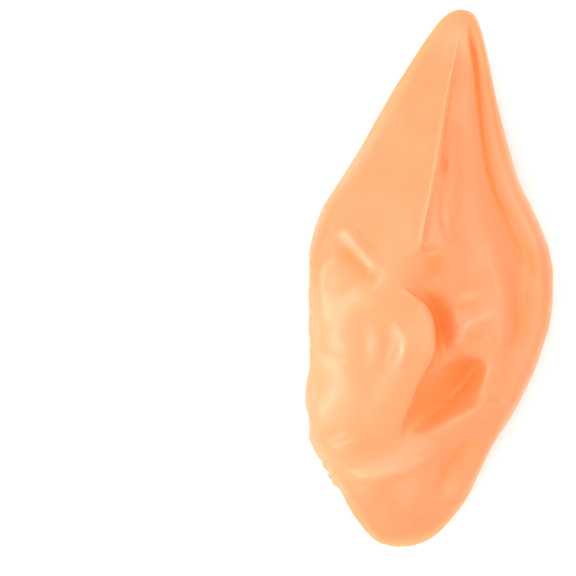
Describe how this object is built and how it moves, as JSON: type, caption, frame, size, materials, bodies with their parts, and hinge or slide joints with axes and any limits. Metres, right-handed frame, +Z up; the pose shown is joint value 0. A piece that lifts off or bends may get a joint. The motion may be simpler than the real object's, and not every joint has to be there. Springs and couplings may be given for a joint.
{
  "type": "elf ear tip",
  "caption": "Slip-on pointed costume ear in soft orange latex, hollow and open at the back, lying face up.",
  "frame": {"origin": "on the table, under the middle of the ear's length and width", "axes": "+Z up out of the face of the ear, +Y towards the pointed tip, +X towards the outer rim"},
  "size_m": [0.055, 0.12, 0.0252],
  "materials": {
    "latex": "satin"
  },
  "bodies": {
    "root": {"ear_shell": "latex"}
  },
  "joints": []
}
